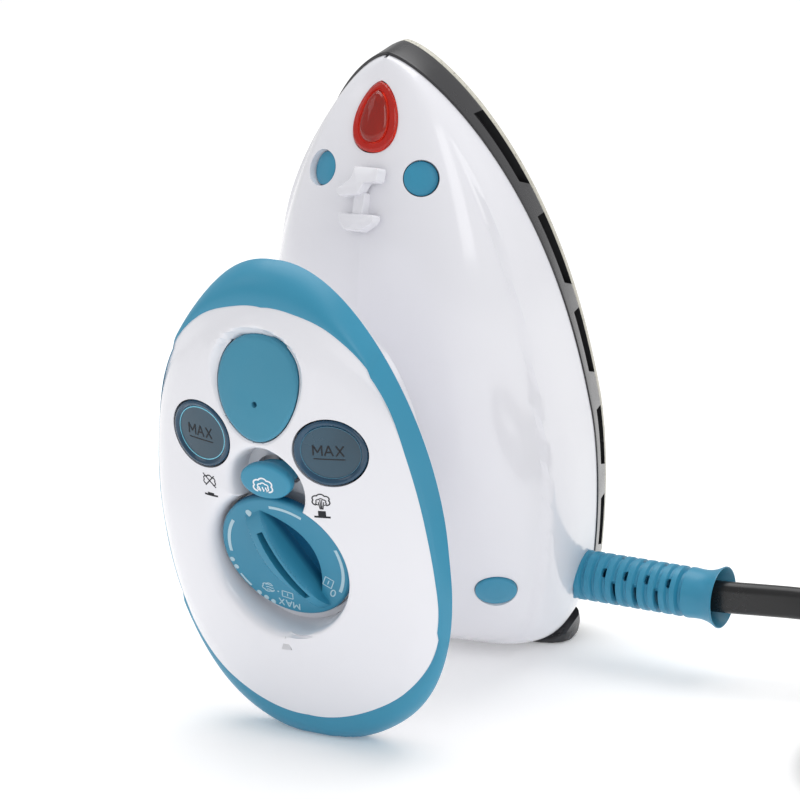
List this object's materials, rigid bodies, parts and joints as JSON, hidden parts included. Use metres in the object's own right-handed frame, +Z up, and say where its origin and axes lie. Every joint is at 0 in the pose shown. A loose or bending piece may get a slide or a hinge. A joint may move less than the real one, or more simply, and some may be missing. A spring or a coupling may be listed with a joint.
{
  "type": "travel steam iron",
  "caption": "Palm-grip steam iron parked on its heel, with a ceramic soleplate, tinted tank windows, temperature dial, steam button, fill cap and a coiled cord with a flat plug.",
  "frame": {"origin": "centre of the footprint's bounding box on the surface that the parked iron stands on", "axes": "+Z up, +X towards the side that the cord leaves, +Y from the grip towards the soleplate"},
  "size_m": [0.2388, 0.16, 0.1489],
  "materials": {
    "shell_white": "polished, faint lavender cast",
    "trim_blue": "satin",
    "cap_rubber": "matte",
    "skirt_black": "satin",
    "sole_ceramic": "smooth ceramic coating, satin",
    "tank_blue": "tinted, polished",
    "lens_red": "tinted, polished",
    "lamp_glass": "clear",
    "insulator_white": "matte",
    "steel": "brushed",
    "aluminium": "rolled",
    "brass": "drawn",
    "silicone": "translucent matte",
    "lead_red": "matte",
    "lead_white": "matte",
    "cord_black": "satin"
  },
  "bodies": {
    "iron": {"body_shell": "shell_white", "handle_base": "shell_white", "face_plate": "shell_white", "ridge_cleat": "shell_white", "rim_band": "trim_blue", "strain_relief": "trim_blue", "screw_cover_front_left": "trim_blue", "screw_cover_front_right": "trim_blue", "screw_cover_rear_left": "trim_blue", "screw_cover_rear_right": "trim_blue", "skirt": "skirt_black", "heel_rest": "skirt_black", "cord_clamp": "skirt_black", "soleplate": "sole_ceramic", "water_tank": "tank_blue", "level_window_left": "tank_blue", "level_window_right": "tank_blue", "indicator_lens": "lens_red", "neon_lamp": "lamp_glass", "thermostat_base": "insulator_white", "terminal_block": "insulator_white", "lamp_holder": "insulator_white", "heating_element": "steel", "body_screw_front_left": "steel", "body_screw_front_right": "steel", "body_screw_rear_left": "steel", "body_screw_rear_right": "steel", "cover_screw_rear": "steel", "cover_screw_front": "steel", "grip_screw_left": "steel", "grip_screw_right": "steel", "terminal_screw": "steel", "thermal_fuse": "steel", "valve_spring": "steel", "steam_chamber_cover": "aluminium", "fuse_clip": "aluminium", "bimetal_leaf": "brass", "valve_seat": "brass", "plug_blade_left": "brass", "plug_blade_right": "brass", "steam_chamber_seal": "silicone", "drip_tube": "silicone", "rod_gland": "silicone", "lead_live": "lead_red", "lead_neutral": "lead_white", "power_cord": "cord_black", "cord_tail": "cord_black", "cord_coil": "cord_black", "cord_tie": "cord_black", "plug_body": "cord_black"},
    "dial": {"temperature_dial": "trim_blue", "dial_shaft": "insulator_white", "thermostat_screw": "brass"},
    "button": {"steam_button": "trim_blue", "valve_rod": "brass"},
    "filler": {"fill_cap": "cap_rubber"}
  },
  "joints": [
    {"name": "temperature_turn", "type": "hinge", "parent": "iron", "child": "dial", "pos_m": [0, -0.04775, 0.04511], "axis": [0, -0.9265, -0.3762], "range_deg": [0, 308]},
    {"name": "steam_press", "type": "slide", "parent": "iron", "child": "button", "axis": [0, 0.9833, 0.1822], "range_m": [0, 0.0026], "stiffness_N_per_m": 300, "deforming": ["valve_spring"]},
    {"name": "filler_lift", "type": "hinge", "parent": "iron", "child": "filler", "pos_m": [0, -0.06099, 0.09451], "axis": [-1, 0, 0], "range_deg": [0, 110]}
  ]
}
